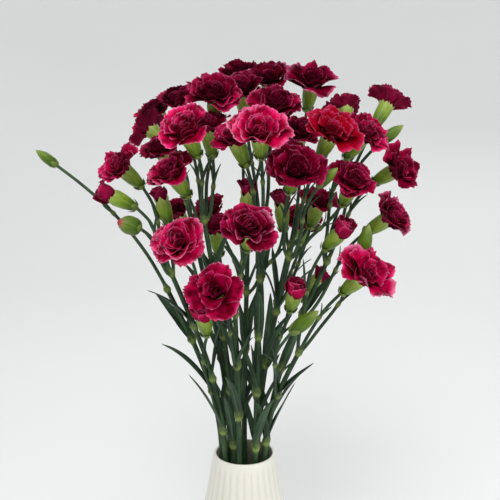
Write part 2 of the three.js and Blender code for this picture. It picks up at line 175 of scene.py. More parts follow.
def groups_of(count, edges, chosen):
    """The separate groups of chosen corners. Each corner takes its neighbours' smallest number
    again and again, until all corners that are joined have the same one."""
    label = np.where(chosen, np.arange(count), count)
    inside = edges[chosen[edges].all(axis=1)]
    for _ in range(most_steps):
        low = label[inside].min(axis=1)
        np.minimum.at(label, inside[:, 0], low)
        np.minimum.at(label, inside[:, 1], low)
    return [np.where(label == k)[0] for k in np.unique(label[chosen])]


half_way = at_length(np.array([[0, 0, 0], [0, 0, 2], [0, 2, 2]]), [2.0])
print("half-way along an L whose arms are 2 long:", half_way[0])

# %% Stem routes, joints and leaves
foot_share = 0.8  # how far out a foot stands, against the same stem in the mouth
joint_pitch, joint_half = 62 * mm, 4.5 * mm
off_route = 5 * mm  # corners farther than this from a stem's route belong to a leaf


def read_stem(spray):
    """The stem's route outside the vase, its joints with their headings, and its leaves."""
    points, triangles = node_corners("stem_" + spray)
    foot = points[points[:, 2] < points[:, 2].min() + 0.6 * mm].mean(axis=0)
    mouth = np.array([foot[0] / foot_share, foot[1] / foot_share, rim])
    leading = next(head for head in heads if head["name"] == spray + "1")
    crown = leading["stalk"][0]
    leaning = unit(mouth - foot)
    heading = unit(1.5 * unit(crown - mouth) - 0.5 * leaning)
    pull = 0.35 * np.linalg.norm(crown - mouth)
    controls = [mouth, mouth + leaning * pull, crown - heading * pull, crown]
    route = bezier(controls, np.linspace(0, 1, 161))
    total = lengths_along(route)[-1]
    drops = np.arange(joint_half, total - 2 * joint_half, joint_pitch)
    joints = at_length(route, total - drops)
    headings = unit(at_length(route, total - drops + mm) - at_length(route, total - drops - mm))
    line = np.vstack([[foot], route])[::4]
    gap = np.linalg.norm(points[:, None] - line[None], axis=2).min(axis=1)
    away = (gap > off_route) & (points[:, 2] > rim)
    leaves = []
    for group in groups_of(len(points), edges_of(triangles), away):
        blade = points[group]
        below = np.where(joints[:, 2] < blade[:, 2].min())[0]
        if len(below) == 0:
            continue
        k = below[0]
        tip = blade[np.linalg.norm(blade - joints[k], axis=1).argmax()]
        leaves.append(dict(joint=k, tip=tip))
    return dict(foot=foot, mouth=mouth, route=route, total=total, drops=drops, joints=joints,
                headings=headings, leaves=leaves)


sprays = sorted(node[5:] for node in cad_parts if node.startswith("stem_"))
stems = {spray: read_stem(spray) for spray in sprays}

# %% [markdown]
# ## Camera
# The bunch is seen from a little above its middle, from close by, so the front blooms look down
# at us and the vase narrows towards its foot. A longer lens from farther off would flatten it.

# %% Camera
looks_down = 12.4  # degrees below level
camera = bpy.data.objects.new("camera", bpy.data.cameras.new("camera"))
bpy.context.scene.collection.objects.link(camera)
camera.location = (6 * mm, -830 * mm, 600 * mm)
camera.rotation_euler = (np.radians(90 - looks_down), 0, 0)
camera.data.lens = 61.2
camera.data.sensor_width = 36
bpy.context.scene.camera = camera
bpy.context.scene.view_settings.view_transform = "Standard"
print("camera at", tuple(round(c, 3) for c in camera.location))

# %% [markdown]
# ## From grids to meshes
# Every shape here is a grid of points, or rings of them. Blender could be given one face at a
# time, but whole numpy arrays go in at once, which is quicker and easier to read. A closed skin
# has one point at each end, so that no hole is left, and each piece keeps its place in its mesh,
# with its object left at the origin.


# %% Cells and rings
def cells(grid):
    """The corners of the two triangles in each cell of a grid: numbers, places or uv alike. Each
    cell is cut towards the grid's middle, so that no triangle has all its corners on the edge."""
    a, b, c, d = grid[:-1, :-1], grid[:-1, 1:], grid[1:, 1:], grid[1:, :-1]
    rows, columns = a.shape[:2]
    same_side = (np.arange(rows)[:, None] < rows / 2) == (np.arange(columns) < columns / 2)
    same_side = same_side.reshape(rows, columns, *[1] * (grid.ndim - 1))
    first = np.where(same_side, np.stack([a, b, c], axis=2), np.stack([a, b, d], axis=2))
    second = np.where(same_side, np.stack([a, c, d], axis=2), np.stack([b, c, d], axis=2))
    return np.stack([first, second], axis=2).reshape(-1, 3, *grid.shape[2:])


def closed_rings(rings, first, last, heights=None):
    """A closed skin over rings of points, with one point at each end. uv runs round and along."""
    rows, around = rings.shape[:2]
    count = rows * around
    index = np.arange(count).reshape(rows, around)
    index = np.hstack([index, index[:, :1]])
    index = np.vstack([np.full(around + 1, count), index, np.full(around + 1, count + 1)])
    heights = np.linspace(0, 1, rows + 2) if heights is None else heights
    uv = np.stack(np.meshgrid(np.linspace(0, 1, around + 1), heights), axis=-1)
    triangles = cells(index)
    whole = (triangles != np.roll(triangles, 1, axis=1)).all(axis=1)
    points = np.vstack([rings.reshape(-1, 3), [first, last]])
    return points, triangles[whole], cells(uv)[whole]


print("a grid of 3 by 4 points has", len(cells(np.arange(12).reshape(3, 4))), "triangles")

# %% One object from arrays
crisp_angle = np.radians(100)  # two faces that turn by more than this meet in a crisp edge


def piece(name, parts, material, nodes):
    """One object from several parts (corners, triangles, uv, marks), placed by its mesh alone."""
    starts = np.cumsum([0] + [len(part[0]) for part in parts])
    points = np.vstack([part[0] for part in parts])
    triangles = np.vstack([part[1] + start for part, start in zip(parts, starts)])
    uv = np.vstack([part[2] for part in parts])
    mesh = bpy.data.meshes.new(name)
    mesh.vertices.add(len(points))
    mesh.vertices.foreach_set("co", points.astype(np.float32).ravel())
    mesh.loops.add(triangles.size)
    mesh.loops.foreach_set("vertex_index", triangles.astype(np.int32).ravel())
    mesh.polygons.add(len(triangles))
    mesh.polygons.foreach_set("loop_start", np.arange(len(triangles), dtype=np.int32) * 3)
    mesh.uv_layers.new(name="UVMap").uv.foreach_set("vector", uv.astype(np.float32).ravel())
    for mark in parts[0][3]:
        values = np.concatenate([np.broadcast_to(p[3][mark], len(p[0])) for p in parts])
        layer = mesh.attributes.new(mark, "FLOAT", "POINT")
        layer.data.foreach_set("value", values.astype(np.float32))
    mesh.update(calc_edges=True)
    mesh.shade_smooth()
    # A thin sheet stays smooth on each side, but its two sides meet in a crisp edge.
    mesh.set_sharp_from_angle(angle=crisp_angle)
    mesh.materials.append(material)
    made = bpy.data.objects.new(name, mesh)
    bpy.context.scene.collection.objects.link(made)
    if nodes:
        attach(made, "root")
        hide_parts(*nodes)
    return made


print("before any piece is made:", len(bpy.data.meshes), "meshes, all from the frame")

# %% [markdown]
# ## Materials as short sentences
# A material is a tree of nodes. Wiring it by hand in the shader editor is fine for one, but here
# six materials share the same habits, so a few helpers let each one be read from top to bottom:
# blend these colours by that mask, spread this value over that range.


# %% A material and its nodes
def new_material(name, **sockets):
    """A material and its Principled shader, with plain values set on the shader's own sockets."""
    material = bpy.data.materials.new(name)
    material.use_nodes = True
    shader = material.node_tree.nodes["Principled BSDF"]
    for socket, value in sockets.items():
        shader.inputs[socket.replace("_", " ")].default_value = value
    return material, material.node_tree, shader


def feed(tree, socket, value):
    """Gives a socket a plain value, or links it to the output that is to feed it."""
    if isinstance(value, bpy.types.NodeSocket):
        tree.links.new(value, socket)
    else:
        socket.default_value = value


def node(tree, kind, inputs=(), **settings):
    """A node with its settings, and its inputs given as values or as the outputs that feed them."""
    made = tree.nodes.new("ShaderNode" + kind)
    for setting, value in settings.items():
        setattr(made, setting, value)
    for socket, value in dict(inputs).items():
        feed(tree, made.inputs[socket], value)
    return made


def mix(tree, share, a, b):
    """Blends two colours: a * (1 - share) + b * share. A Mix node has a set of sockets for each
    kind of data, and only the colour set is enabled: its factor, two colours and result."""
    made = tree.nodes.new("ShaderNodeMix")
    made.data_type = "RGBA"
    used = [socket for socket in made.inputs if socket.enabled]
    for socket, value in zip(used, (share, a, b)):
        feed(tree, socket, value)
    return next(socket for socket in made.outputs if socket.enabled)


print("a value or a", bpy.types.NodeSocket.__name__, "can feed a node")


# %% Values and colours
def math(tree, operation, a, b=0.0):
    """One step of arithmetic on values."""
    return node(tree, "Math", {0: a, 1: b}, operation=operation).outputs[0]


def spread(tree, value, low, high, start=0.0, end=1.0):
    """Turns the range low to high of a value into start to end, and holds it there outside."""
    ends = {0: value, 1: low, 2: high, 3: start, 4: end}
    return node(tree, "MapRange", ends, interpolation_type="SMOOTHSTEP").outputs[0]


def colour(code):
    """A colour written as rrggbb, as the light that a shader works with."""
    parts = np.array([int(code[k : k + 2], 16) for k in (0, 2, 4)]) / 255
    linear = np.where(parts <= 0.04045, parts / 12.92, ((parts + 0.055) / 1.055) ** 2.4)
    return (*linear, 1.0)


def join(tree, shader, base, rough, height, strength, depth):
    """Joins a colour, a roughness and a bump of this depth to a shader."""
    tree.links.new(base, shader.inputs["Base Color"])
    tree.links.new(rough, shader.inputs["Roughness"])
    bump = node(tree, "Bump", {"Height": height, "Strength": strength, "Distance": depth})
    tree.links.new(bump.outputs[0], shader.inputs["Normal"])


print("half-bright grey 808080 is", round(colour("808080")[0], 3), "as light")

# %% [markdown]
# ## The sweep and the lamps
# A plain studio sweep stands round the vase as a wide bowl: a flat floor that turns up into a
# wall. A flat backdrop would need turning with the camera. A bowl looks the same from every side,
# and it has no corner or edge to catch the eye. Large soft lamps stand in for a bright overcast
# window.

# %% The sweep
paper, tree, shader = new_material("paper", Roughness=0.9, Specular_IOR_Level=0.2)
place = node(tree, "TexCoord").outputs["Object"]
mottle = node(tree, "TexNoise", {"Vector": place, "Scale": 1.5, "Detail": 4}).outputs["Fac"]
tree.links.new(mix(tree, mottle, colour("edeeee"), colour("f1f2f2")), shader.inputs["Base Color"])
fibre = node(tree, "TexNoise", {"Vector": place, "Scale": 600}).outputs["Fac"]
bump = node(tree, "Bump", {"Height": fibre, "Strength": 0.05, "Distance": mm})
tree.links.new(bump.outputs[0], shader.inputs["Normal"])

# In metres: the floor's flat radius, the radius of its turn-up, the wall, and how far the bowl's
# middle lies in front of the vase, so that the lamps stand well inside it.
flat, turn_up, wall_height, forward = 2.5, 1.9, 4.5, 1.0
arc = np.linspace(0, np.pi / 2, 16)
radius = np.concatenate([[0.5, 1.0, 1.8], flat + turn_up * np.sin(arc), [flat + turn_up]])
height = np.concatenate([[0, 0, 0], turn_up * (1 - np.cos(arc)), [wall_height]])
turn = np.linspace(0, 2 * np.pi, 96, endpoint=False)
radius, height = radius[:, None], height[:, None] + 0 * turn
bowl = np.stack([radius * np.cos(turn), radius * np.sin(turn) - forward, height], axis=-1)
# The bowl is seen from inside: its rings go the other way round, and its top stays open.
points, triangles, uv = closed_rings(bowl[:, ::-1], [0, -forward, 0], [0, -forward, wall_height])
open_top = (triangles != len(points) - 1).all(axis=1)
sweep = piece("sweep", [(points, triangles[open_top], uv[open_top], {})], paper, ())
print("sweep", len(sweep.data.polygons), "faces")

# %% Lamps
bunch_middle = Vector((0, 0, 0.4))  # in metres, as the lamps' places are


def lamp(name, place, size, power):
    """A square soft lamp at a place in metres, turned to face the middle of the bunch."""
    data = bpy.data.lights.new(name, "AREA")
    data.size = size
    data.energy = power
    made = bpy.data.objects.new(name, data)
    bpy.context.scene.collection.objects.link(made)
    made.location = place
    made.rotation_euler = (bunch_middle - Vector(place)).to_track_quat("-Z", "Y").to_euler()


lamp("window", (-0.25, -1.9, 2.5), 1.3, 44)
lamp("fill", (1.7, -1.3, 1.2), 1.8, 14)
lamp("overhead", (0, 0.3, 2.4), 2.0, 7.5)
lamp("behind", (0.6, 1.9, 1.5), 1.6, 5)
world = bpy.data.worlds.new("room")
bpy.context.scene.world = world
world.use_nodes = True
room_light = world.node_tree.nodes["Background"].inputs
room_light["Color"].default_value = (1, 1, 1, 1)
room_light["Strength"].default_value = 0.54
print("lamps:", sorted(light.name for light in bpy.data.lights))

# %% [markdown]
# ## Two effects that the materials share
# Stems, leaves, calyces and petals all have fine veins that run along them, and all of them and
# the glaze have uneven patches and specks. Each effect is a node group: it is built once and
# placed in each material with its own scale. The groups only give masks and heights, and each
# material decides what they do to its colour, its roughness and its bumps.


# %% Empty groups
def new_group(name, inputs, outputs):
    """An empty shader group with these named inputs, at these values, and these outputs."""
    group = bpy.data.node_groups.new(name, "ShaderNodeTree")
    for label, kind, value in inputs:
        made = group.interface.new_socket(name=label, in_out="INPUT", socket_type=kind)
        if value is not None:
            made.default_value = value
    for label, kind in outputs:
        group.interface.new_socket(name=label, in_out="OUTPUT", socket_type=kind)
    return group, group.nodes.new("NodeGroupInput"), group.nodes.new("NodeGroupOutput")


number, vector = "NodeSocketFloat", "NodeSocketVector"
print("groups take and give:", number, "and", vector)

# %% Veins
# Fine lines that run along the surface: a noise that is squeezed across it and stretched along it.
veins, given, result = new_group(
    "veins",
    [("Surface", vector, None), ("Count", number, 30.0), ("Wander", number, 2.0),
     ("Seed", number, 0.0)],
    [("Lines", number), ("Height", number)],
)
place = node(veins, "SeparateXYZ", {0: given.outputs["Surface"]}).outputs
squeezed = node(
    veins,
    "CombineXYZ",
    {
        0: math(veins, "MULTIPLY", place[0], given.outputs["Count"]),
        1: math(veins, "MULTIPLY", place[1], given.outputs["Wander"]),
        2: given.outputs["Seed"],
    },
)
grain = node(
    veins, "TexNoise", {"Vector": squeezed.outputs[0], "Scale": 1.0, "Detail": 3, "Roughness": 0.6}
).outputs["Fac"]
veins.links.new(spread(veins, grain, 0.32, 0.68), result.inputs["Lines"])
veins.links.new(grain, result.inputs["Height"])
print("group", veins.name, "has", len(veins.nodes), "nodes")

# %% Patches and specks
# Broad uneven patches and fine specks: two noises in the object's own coordinates.
mottled, given, result = new_group(
    "mottle",
    [("Place", vector, None), ("Coarse", number, 60.0), ("Fine", number, 900.0)],
    [("Patches", number), ("Specks", number)],
)
place, coarse, fine = (given.outputs[label] for label in ("Place", "Coarse", "Fine"))
patches = node(mottled, "TexNoise", {"Vector": place, "Scale": coarse, "Detail": 4}).outputs["Fac"]
specks = node(mottled, "TexNoise", {"Vector": place, "Scale": fine, "Detail": 2}).outputs["Fac"]
mottled.links.new(spread(mottled, patches, 0.3, 0.7), result.inputs["Patches"])
mottled.links.new(specks, result.inputs["Specks"])


def use(tree, group, **inputs):
    """One use of a shared group in a material's tree."""
    made = tree.nodes.new("ShaderNodeGroup")
    made.node_tree = group
    for label, value in inputs.items():
        feed(tree, made.inputs[label], value)
    return made.outputs


def attribute(tree, name):
    """A mark that the mesh carries."""
    return node(tree, "Attribute", attribute_name=name).outputs["Fac"]


print("group", mottled.name, "has", len(mottled.nodes), "nodes")

# %% [markdown]
# ## The vase
# It is a slip-cast or thrown vase: a plain lip, then soft upright ribs pressed or turned into the
# wall, under a cream satin glaze. Shade is painted into it, a little darker in the grooves and much
# darker down the inside. Modelling each rib by hand would be slow. The frame gives the outline as
# a list of radii and heights, so the wall is that outline spun round, with its radius raised and
# lowered by a wave of the turning angle that fades in below the lip.

# %% Vase glaze
glaze, tree, shader = new_material("cream_glaze", Coat_Roughness=0.12, IOR=1.5)
place = node(tree, "TexCoord").outputs["Object"]
spots = use(tree, mottled, Place=place, Coarse=18.0, Fine=700.0)
body = mix(tree, spots["Patches"], colour("dcdacf"), colour("e4e2d8"))
# Painted shade: the glaze is a little darker in the grooves.
painted_groove_shade = mix(tree, attribute(tree, "groove"), body, colour("d4d1c5"))
# Painted shade: down the inside the glaze is a much darker grey-brown.
lining = mix(tree, spots["Patches"], colour("8d877c"), colour("a39c90"))
wall = mix(tree, attribute(tree, "inside"), painted_groove_shade, lining)
satin = spread(tree, spots["Patches"], 0, 1, 0.3, 0.42)
shader.inputs["Coat Weight"].default_value = 0.35
join(tree, shader, wall, satin, spots["Specks"], 0.15, 0.1 * mm)
print("material", glaze.name)

# %% Vase wall
points, _ = node_corners("vase")
levels = np.round(points[:, 2], 4)
spans = {level: np.linalg.norm(points[levels == level, :2], axis=1) for level in np.unique(levels)}
outline = np.array([(level, span.max()) for level, span in spans.items()])
above_floor = {level: span[span > mm] for level, span in spans.items() if level > 10 * mm}
lining = np.array([(level, span.min()) for level, span in above_floor.items()])
print("outline of", len(outline), "levels, lining of", len(lining))


def smooth(points, count):
    """A smooth line through the points: each span is a cubic that leaves each of its points along
    the chord between that point's neighbours."""
    p = np.vstack([2 * points[0] - points[1], points, 2 * points[-1] - points[-2]])
    t = np.linspace(0, len(points) - 1, count)
    k = np.minimum(t.astype(int), len(points) - 2)
    f = (t - k)[:, None]
    a, b, c, d = p[k], p[k + 1], p[k + 2], p[k + 3]
    bend, pull = 3 * b - a - 3 * c + d, 2 * a - 5 * b + 4 * c - d
    return (2 * b + (c - a) * f + pull * f**2 + bend * f**3) / 2

# %% Vase section
# One list of (height, radius): from the foot up the outside, over the round lip, down the lining.
lip_half = 1.75 * mm
outside = smooth(outline, 90)
inner = smooth(lining[lining[:, 0] < rim - 4 * mm], 40)[::-1]
bend = np.linspace(0, np.pi, 9)[1:-1]
lip = np.stack([np.sin(bend), np.cos(bend)], axis=1) * lip_half
lip += [rim - lip_half, outside[-1, 1] - lip_half]
outside = outside[outside[:, 0] < rim - lip_half]
foot_edge = np.array([[0.2 * mm, outside[0, 1] - 6 * mm], [0.1 * mm, outside[0, 1] - 1.2 * mm]])
floor_edge = np.array([[inner[-1, 0] - 4 * mm, inner[-1, 1] * 0.85]])
section = np.vstack([foot_edge, outside, lip, inner, floor_edge])
print("section of", len(section), "points; mouth radius", round(outside[-1, 1] / mm, 1), "mm")

# %% Ribs
# The radius drops by the depth times one minus a wave: round ribs with narrow grooves between them.
# The ribs fade in over 7 mm below the plain lip and over 6 mm above the foot.
rib_count, rib_depth, lip_plain = 30, 0.5 * mm, 5 * mm
around = rib_count * 10
turn = np.linspace(0, 2 * np.pi, around, endpoint=False)
level, radius = section[:, :1], section[:, 1:]
is_outside = np.zeros((len(section), 1))
is_outside[len(foot_edge) : len(foot_edge) + len(outside)] = 1
below_lip = np.clip((rim - lip_plain - level) / (7 * mm), 0, 1)
fade = is_outside * below_lip * np.clip(level / (6 * mm), 0, 1)
wave = np.abs(np.cos(turn * rib_count / 2)) ** 0.8
ribbed = radius - fade * rib_depth * (1 - wave)
rings = np.stack([ribbed * np.cos(turn), ribbed * np.sin(turn), level + 0 * turn], axis=-1)
points, triangles, uv = closed_rings(rings, [0, 0, 0.2 * mm], [0, 0, floor_edge[0, 0]])
after_lip = np.arange(len(section)) >= len(foot_edge) + len(outside) + 5
# Masks for the painted shade: groove is how deep a point lies in a groove, inside is 1 down the
# inside.
marks = {
    "groove": np.append((fade * (1 - wave)).ravel(), [0, 0]),
    "inside": np.append(np.repeat(after_lip, around), [0, 1]).astype(float),
}
vase = piece("vase_ribbed", [(points, triangles, uv, marks)], glaze, ["vase"])
print("vase_ribbed", len(vase.data.polygons), "faces")

# %% [markdown]
# ## Canes and stalks
# A carnation's stem is a row of straight tubes with a swollen joint between them. Above each
# joint the bases of its two leaves are grown together into a short sheath. It could be a curve
# object with a bevel, but then the radius would need a separate curve. Here a tube is drawn
# square to its path, and its radius is the stem's taper plus a bump at each joint plus the thin
# step of the sheath.

# %% Green skin
skin_green, tree, shader = new_material("waxy_stem", IOR=1.4, Specular_IOR_Level=0.3)
place = node(tree, "TexCoord").outputs["Object"]
surface = node(tree, "UVMap", uv_map="UVMap").outputs[0]
spots = use(tree, mottled, Place=place, Coarse=55.0, Fine=1600.0)
lines = use(tree, veins, Surface=surface, Count=26.0, Wander=9.0)
green = mix(tree, spots["Patches"], colour("152818"), colour("334d2c"))
waxed = mix(tree, math(tree, "MULTIPLY", lines["Lines"], 0.25), green, colour("5c7458"))
swollen = mix(tree, math(tree, "MULTIPLY", attribute(tree, "joint"), 0.75), waxed, colour("84964c"))
waxy = spread(tree, spots["Specks"], 0.3, 0.7, 0.42, 0.6)
join(tree, shader, swollen, waxy, lines["Height"], 0.25, 0.2 * mm)
print("material", skin_green.name)


# %% Tubes
def tube(path, radii, around=10, **marks):
    """Rings square to a path: middle + radius * (cos(turn) * side + sin(turn) * other side)."""
    heading = unit(np.gradient(path, axis=0))
    level = np.eye(3)[np.abs(heading[:, :2]).max(axis=0).argmin()]
    side = unit(np.cross(heading, level))
    other = np.cross(heading, side)
    turn = np.linspace(0, 2 * np.pi, around, endpoint=False)[None, :, None]
    ring = np.cos(turn) * side[:, None] + np.sin(turn) * other[:, None]
    rings = path[:, None] + np.asarray(radii)[:, None, None] * ring
    along = lengths_along(path)
    heights = np.concatenate([[0], along, along[-1:]]) / (100 * mm)
    points, triangles, uv = closed_rings(rings, path[0], path[-1], heights)
    marks = {mark: np.append(np.repeat(value, around), [0, 0]) for mark, value in marks.items()}
    return points, triangles, uv, marks


upright = np.linspace([0, 0, 0], [0, 0, 0.1], 3)
print("a tube of three rings has", len(tube(upright, np.full(3, mm))[1]), "triangles")

# %% Canes
stem_radius, crown_radius = 2.9 * mm, 2.3 * mm
swelling, sheath = 1.35 * mm, 0.55 * mm


def joint_bump(along, joints):
    """How near each place is to a joint: 1 in the middle of the swelling, falling to 0 about 5 mm
    away on both sides."""
    away = along[:, None] - np.asarray(joints)[None, :]
    return np.exp(-((away / (2.3 * mm)) ** 2)).sum(axis=1)


def sheath_step(along, joints):
    """1 over the sheath just above each joint, with a sharp upper edge."""
    away = (along[:, None] - np.asarray(joints)[None, :]) / mm
    return (np.clip(away, 0, 1) * np.clip((8 - away) / 0.8, 0, 1)).sum(axis=1)


def cane_part(stem):
    """The stem from its foot to its crown. It tapers above the vase."""
    straight = np.linspace(stem["foot"], stem["mouth"], 24)[:-1]
    outside = at_length(stem["route"], np.arange(0, stem["total"], 1.5 * mm))
    path = np.vstack([straight, outside])
    above = np.append(np.zeros(len(straight)), np.arange(0, stem["total"], 1.5 * mm))
    joints = stem["total"] - stem["drops"]
    near = joint_bump(above, joints)
    collar = sheath_step(above, joints)
    radii = stem_radius + (crown_radius - stem_radius) * above / stem["total"]
    radii = radii + swelling * near + sheath * collar
    return tube(path, radii, 12, joint=np.clip(near + 0.35 * collar, 0, 1))


thickness = np.round(np.array([stem_radius, stem_radius + swelling]) * 2 / mm, 1)
print("canes", thickness[0], "mm thick,", thickness[1], "mm at their joints")

# %% Stalks
stalk_radius = 1.65 * mm
long_stalk = 42 * mm  # a stalk longer than this has a joint of its own


def stalk_path(head, stem):
    """The stalk's smooth line, begun inside its joint, so that it grows out of the leaf's foot."""
    stalk = head["stalk"]
    if head["name"][1:] == "1":
        heading = stem["headings"][0]
        inside, leaving = stem["route"][-1] - heading * 3 * mm, stalk[0] + heading * 2 * mm
    else:
        k = np.linalg.norm(stem["joints"] - stalk[0], axis=1).argmin()
        inside = stem["joints"][k] - stem["headings"][k] * mm
        leaving = stalk[0] * 0.72 + stalk[1] * 0.28
    in_calyx = stalk[-1] + head["axis"] * 1.5 * mm
    line = smooth(np.vstack([inside, leaving, stalk[1:], in_calyx]), 400)
    return at_length(line, np.arange(0, lengths_along(line)[-1], 1.8 * mm))


def stalk_part(head, stem):
    """A thin cane. A long one has a joint of its own half-way, and thickens just under the head."""
    path = stalk_path(head, stem)
    along = lengths_along(path)
    total = along[-1]
    joints = [total * 0.55] if total > long_stalk else []
    near = joint_bump(along, joints + [3 * mm]) if joints else np.zeros(len(along))
    under_head = np.clip(1 - (total - along) / (5 * mm), 0, 1)
    radii = stalk_radius * (1.08 - 0.16 * along / total) + 0.8 * mm * near
    radii = radii + 1.1 * mm * under_head**2
    if joints:
        joint, above = at_length(path, [joints[0], joints[0] + 2 * mm])
        head["bract"] = (joint, unit(above - joint))
    return tube(path, radii, 8, joint=np.clip(0.8 * near + 0.6 * under_head, 0, 1))


print("thin stalks", 2 * stalk_radius / mm, "mm thick")

# %% One cane with its stalks for each spray
by_spray = {spray: [head for head in heads if head["name"][0] == spray] for spray in sprays}
for spray in sprays:
    parts = [cane_part(stems[spray])] + [stalk_part(head, stems[spray]) for head in by_spray[spray]]
    made = piece("cane_" + spray, parts, skin_green, ["stem_" + spray])
    print(made.name, len(made.data.polygons), "faces")

# %% [markdown]
# ## Leaves
# Carnation leaves come in opposite pairs. Each is a stiff, narrow, channelled blade that clasps
# the joint, arches out and ends in a fine point. A blade is a closed sheet: a grid that runs
# across and along its midline, lifted on both edges to make the channel, with a front and a back
# that meet all round the edge. The bow follows the tips that the frame gives.

# %% Leaf green
leaf_green, tree, shader = new_material("waxy_leaf", IOR=1.4, Specular_IOR_Level=0.3)
place = node(tree, "TexCoord").outputs["Object"]
surface = node(tree, "UVMap", uv_map="UVMap").outputs[0]
spots = use(tree, mottled, Place=place, Coarse=45.0, Fine=1500.0)
lines = use(tree, veins, Surface=surface, Count=22.0, Wander=1.2)
green = mix(tree, spots["Patches"], colour("14271a"), colour("2e4b32"))
streaked = mix(tree, math(tree, "MULTIPLY", lines["Lines"], 0.25), green, colour("627a5e"))
split = node(tree, "SeparateXYZ", {0: surface}).outputs
off_midrib = math(tree, "ABSOLUTE", math(tree, "SUBTRACT", split[0], 0.5))
midrib = spread(tree, off_midrib, 0.02, 0.09, 0.3, 0.0)
ribbed_green = mix(tree, midrib, streaked, colour("6d8a5c"))
foot = spread(tree, split[1], 0.0, 0.16, 0.6, 0.0)
blade = mix(tree, foot, ribbed_green, colour("7f9250"))
waxy = spread(tree, spots["Specks"], 0.3, 0.7, 0.45, 0.62)
join(tree, shader, blade, waxy, lines["Height"], 0.3, 0.2 * mm)
print("material", leaf_green.name)


# %% Closed sheets
def sheet(middle, thickness, uv):
    """Closed sheets from grids of points (sheets, rows, columns): a front and a back that share
    their edges. Each side is moved off the middle surface along its normal, which is the cross
    product of the surface's two slopes. The last value is 1 on the back and 0 elsewhere."""
    count, rows, columns = middle.shape[:3]
    along, across = np.gradient(middle, axis=1), np.gradient(middle, axis=2)
    lift = unit(np.cross(along, across)) * thickness[..., None] / 2
    front = (middle + lift).copy()
    edge = np.ones((rows, columns), bool)
    edge[1:-1, 1:-1] = False
    front[:, edge] = middle[:, edge]
    back = (middle - lift)[:, 1:-1, 1:-1]
    size = rows * columns
    total = size + (rows - 2) * (columns - 2)
    points = np.concatenate([front.reshape(count, -1, 3), back.reshape(count, -1, 3)], axis=1)
    top = np.arange(size).reshape(rows, columns)
    bottom = top.copy()
    bottom[1:-1, 1:-1] = np.arange(size, total).reshape(rows - 2, columns - 2)
    triangles = np.vstack([cells(top)[:, ::-1], cells(bottom)])
    corners = np.vstack([cells(uv)[:, ::-1], cells(uv)])
    every = (triangles[None] + total * np.arange(count)[:, None, None]).reshape(-1, 3)
    under = np.tile(np.append(np.zeros(size), np.ones(total - size)), count)
    return points.reshape(-1, 3), every, np.tile(corners, (count, 1, 1)), under


level_grid = np.stack(np.meshgrid(np.arange(4.0), np.arange(3.0), [0.0]), axis=-1)[:, :, 0]
_, triangles, _, _ = sheet(level_grid[None], np.ones((1, 3, 4)), level_grid)
print("a sheet on 3 by 4 points has", len(triangles), "triangles")

# %% Leaf blades
leaf_width, leaf_bow, bract_width, bract_bow = 10.5 * mm, 6 * mm, 3.4 * mm, 1.5 * mm
blade_rows, blade_columns = 17, 7
blade_along = np.linspace(0, 1, blade_rows)
blade_across = np.linspace(-1, 1, blade_columns)
blade_uv = np.stack(np.meshgrid(blade_across / 2 + 0.5, blade_along), axis=-1)
blade_width = np.interp(blade_along, [0, 0.08, 0.3, 0.6, 0.85, 1], [0.72, 0.86, 1, 0.8, 0.4, 0.03])


def blade_part(joint, heading, tip, width, bulge, rng):
    """One leaf: a quadratic curve from the joint to the tip, with a width that tapers to a point.
    The curve bends over, sways and twists a little, by amounts that grow along it."""
    t = blade_along[:, None]
    reach = tip - joint
    long = np.linalg.norm(reach)
    outward = reach - heading * reach.dot(heading)
    side = unit(outward)
    bow = joint + heading * long * 0.5 + side * (bulge + long * 0.06)
    middle = bezier([joint + heading * 0.5 * mm, bow, tip], blade_along)
    curl = rng.uniform(-0.02, 0.16) * long
    middle = middle + side * curl * t**3 - heading * abs(curl) * 0.5 * t**4
    sway = np.cross(heading, side)
    middle = middle + sway * rng.normal(0, 0.035) * long * t**2
    tangent = unit(np.gradient(middle, axis=0))
    across = unit(np.cross(tangent, np.broadcast_to(side, tangent.shape) + heading * 0.15))
    facing = np.cross(tangent, across)
    twist = rng.normal(0, 0.5) * t**1.5
    cosine, sine = np.cos(twist), np.sin(twist)
    across, facing = across * cosine + facing * sine, facing * cosine - across * sine
    half = (width / 2 * blade_width)[:, None, None]
    u = blade_across[None, :, None]
    channel = np.interp(blade_along, [0, 0.2, 1], [0.9, 0.4, 0.25])[:, None, None]
    grid = middle[:, None] + across[:, None] * half * u
    grid = grid + facing[:, None] * half * channel * np.abs(u) ** 1.6
    thick = np.full((1, blade_rows, blade_columns), 0.8 * mm)
    points, triangles, uv, under = sheet(grid[None], thick, blade_uv)
    return points, triangles, uv, {"under": under}


print("leaves", leaf_width / mm, "mm wide, and small ones", bract_width / mm, "mm")

# %% Leaves on each spray
# Each leaf that the frame has, and a pair of small ones at the joint of every long stalk.
for spray in sprays:
    rng = np.random.default_rng(ord(spray))
    stem = stems[spray]
    parts = []
    for leaf in stem["leaves"]:
        joint, heading = stem["joints"][leaf["joint"]], stem["headings"][leaf["joint"]]
        parts.append(blade_part(joint, heading, leaf["tip"], leaf_width, leaf_bow, rng))
    for head in by_spray[spray]:
        if "bract" not in head:
            continue
        joint, heading = head["bract"]
        turn = rng.uniform(0, 2 * np.pi)
        first = unit(np.cross(heading, [np.cos(turn), np.sin(turn), 0.2]))
        for side in (first, -first):
            long = rng.uniform(17, 32) * mm
            tip = joint + heading * long * 0.9 + side * long * rng.uniform(0.18, 0.4)
            parts.append(blade_part(joint, heading, tip, bract_width, bract_bow, rng))
    made = piece("leaves_" + spray, parts, leaf_green, ["stem_" + spray])
    print(made.name, len(parts), "blades")

# %% [markdown]
# ## Calyces and buds
# Under each bloom is a smooth green tube with five pointed teeth, which holds the petals
# together, and four small scales clasp its base. It is turned from one outline, up the outside,
# over the lip and down the inside, and the lip rises and falls five times. A bud is the same tube
# before it opens: its teeth are still shut into a point.

